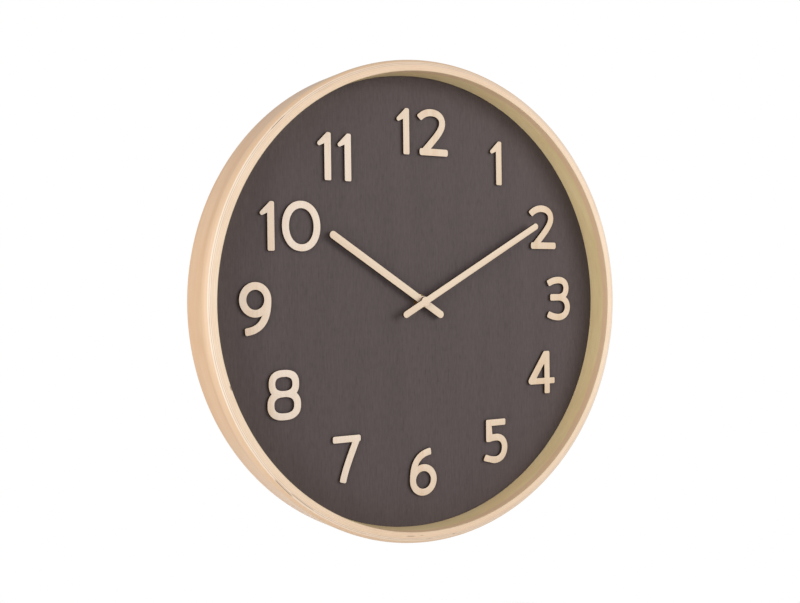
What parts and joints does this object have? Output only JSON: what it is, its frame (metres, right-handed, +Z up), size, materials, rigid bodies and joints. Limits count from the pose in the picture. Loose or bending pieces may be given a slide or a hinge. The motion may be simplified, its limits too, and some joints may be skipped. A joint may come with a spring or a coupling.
{
  "type": "wall clock",
  "caption": "Round wall clock with a bent-ply rim, dark veneered dial, raised wooden numerals, two wooden bar hands and a battery quartz movement with working motion work.",
  "frame": {"origin": "on the hand axis, in the plane of the wall that the rim's back rests against", "axes": "+Y from the dial towards the wall (the front faces -Y), +Z up to twelve o'clock, +X towards three o'clock"},
  "size_m": [0.52, 0.05, 0.52],
  "materials": {
    "bent_ply": "satin",
    "plywood": "satin",
    "dark_veneer": "satin",
    "softwood": "matte",
    "basswood": "matte",
    "brass": "polished",
    "zinc_steel": "satin",
    "bright_steel": "polished",
    "core_steel": "satin",
    "black_rubber": "matte",
    "black_plastic": "matte",
    "white_nylon": "satin",
    "bobbin_plastic": "satin",
    "copper_wire": "gloss",
    "magnet": "satin",
    "board_green": "gloss",
    "epoxy_black": "gloss",
    "contact_plate": "satin",
    "cell_jacket": "gloss"
  },
  "bodies": {
    "clock_body": {"rim": "bent_ply", "dial_board": "plywood", "dial_veneer": "dark_veneer", "support_blocks": "softwood", "hanger_blocks": "softwood", "hanger_plate": "zinc_steel", "hanger_screws": "zinc_steel", "numeral_1": "basswood", "numeral_2": "basswood", "numeral_3": "basswood", "numeral_4": "basswood", "numeral_5": "basswood", "numeral_6": "basswood", "numeral_7": "basswood", "numeral_8": "basswood", "numeral_9": "basswood", "numeral_10": "basswood", "numeral_11": "basswood", "numeral_12": "basswood", "fixing_nut": "brass", "flat_washer": "brass", "threaded_bushing": "brass", "gasket": "black_rubber", "movement_case": "black_plastic", "movement_cover": "black_plastic", "circuit_board": "board_green", "chip_blob": "epoxy_black", "quartz_crystal": "bright_steel", "coil_bobbin": "bobbin_plastic", "coil_winding": "copper_wire", "coil_core": "core_steel", "stator": "core_steel", "wheel_pins": "bright_steel", "positive_contact": "contact_plate", "negative_contact": "contact_plate"},
    "minute_work": {"minute_hand": "basswood", "minute_hand_bush": "brass", "minute_shaft": "bright_steel", "clutch_washer": "brass"},
    "hour_work": {"hour_hand": "basswood", "hour_hand_bush": "brass", "hour_wheel": "white_nylon"},
    "setting_work": {"motion_wheel": "white_nylon", "setting_knob": "black_plastic"},
    "seconds_work": {"seconds_wheel": "white_nylon"},
    "third_work": {"third_wheel": "white_nylon"},
    "centre_work": {"centre_wheel": "white_nylon"},
    "intermediate_work": {"intermediate_wheel": "white_nylon"},
    "rotor": {"rotor_pinion": "white_nylon", "rotor_magnet": "magnet"},
    "battery_cell": {"battery": "cell_jacket"}
  },
  "joints": [
    {"name": "minute_spin", "type": "hinge", "parent": "clock_body", "child": "minute_work", "pos_m": [0, -0.01, 0], "axis": [0, 1, 0], "continuous": true},
    {"name": "hour_spin", "type": "hinge", "parent": "clock_body", "child": "hour_work", "pos_m": [0, -0.013, 0], "axis": [0, 1, 0], "continuous": true},
    {"name": "knob_spin", "type": "hinge", "parent": "clock_body", "child": "setting_work", "pos_m": [-0.01081, -0.011, 0.00757], "axis": [0, 1, 0], "continuous": true},
    {"name": "seconds_spin", "type": "hinge", "parent": "clock_body", "child": "seconds_work", "pos_m": [0, -0.004, 0], "axis": [0, 1, 0], "continuous": true},
    {"name": "third_spin", "type": "hinge", "parent": "clock_body", "child": "third_work", "pos_m": [0.01219, -0.005, 0.00107], "axis": [0, 1, 0], "continuous": true},
    {"name": "centre_spin", "type": "hinge", "parent": "clock_body", "child": "centre_work", "pos_m": [0, -0.0063, 0], "axis": [0, 1, 0], "continuous": true},
    {"name": "intermediate_spin", "type": "hinge", "parent": "clock_body", "child": "intermediate_work", "pos_m": [0.0036, -0.003, 0.00624], "axis": [0, 1, 0], "continuous": true},
    {"name": "rotor_spin", "type": "hinge", "parent": "clock_body", "child": "rotor", "pos_m": [0.00541, -0.005, 0.013], "axis": [0, 1, 0], "continuous": true},
    {"name": "battery_lift", "type": "slide", "parent": "clock_body", "child": "battery_cell", "axis": [0, 1, 0], "range_m": [0, 0.02]}
  ],
  "couplings": [
    {"joint": "hour_spin", "follows": "minute_spin", "ratio": 0.083333},
    {"joint": "knob_spin", "follows": "minute_spin", "ratio": -0.33333},
    {"joint": "intermediate_spin", "follows": "rotor_spin", "ratio": -0.16667},
    {"joint": "seconds_spin", "follows": "rotor_spin", "ratio": 0.033333},
    {"joint": "third_spin", "follows": "rotor_spin", "ratio": -0.0044444},
    {"joint": "centre_spin", "follows": "rotor_spin", "ratio": 0.00055556}
  ]
}
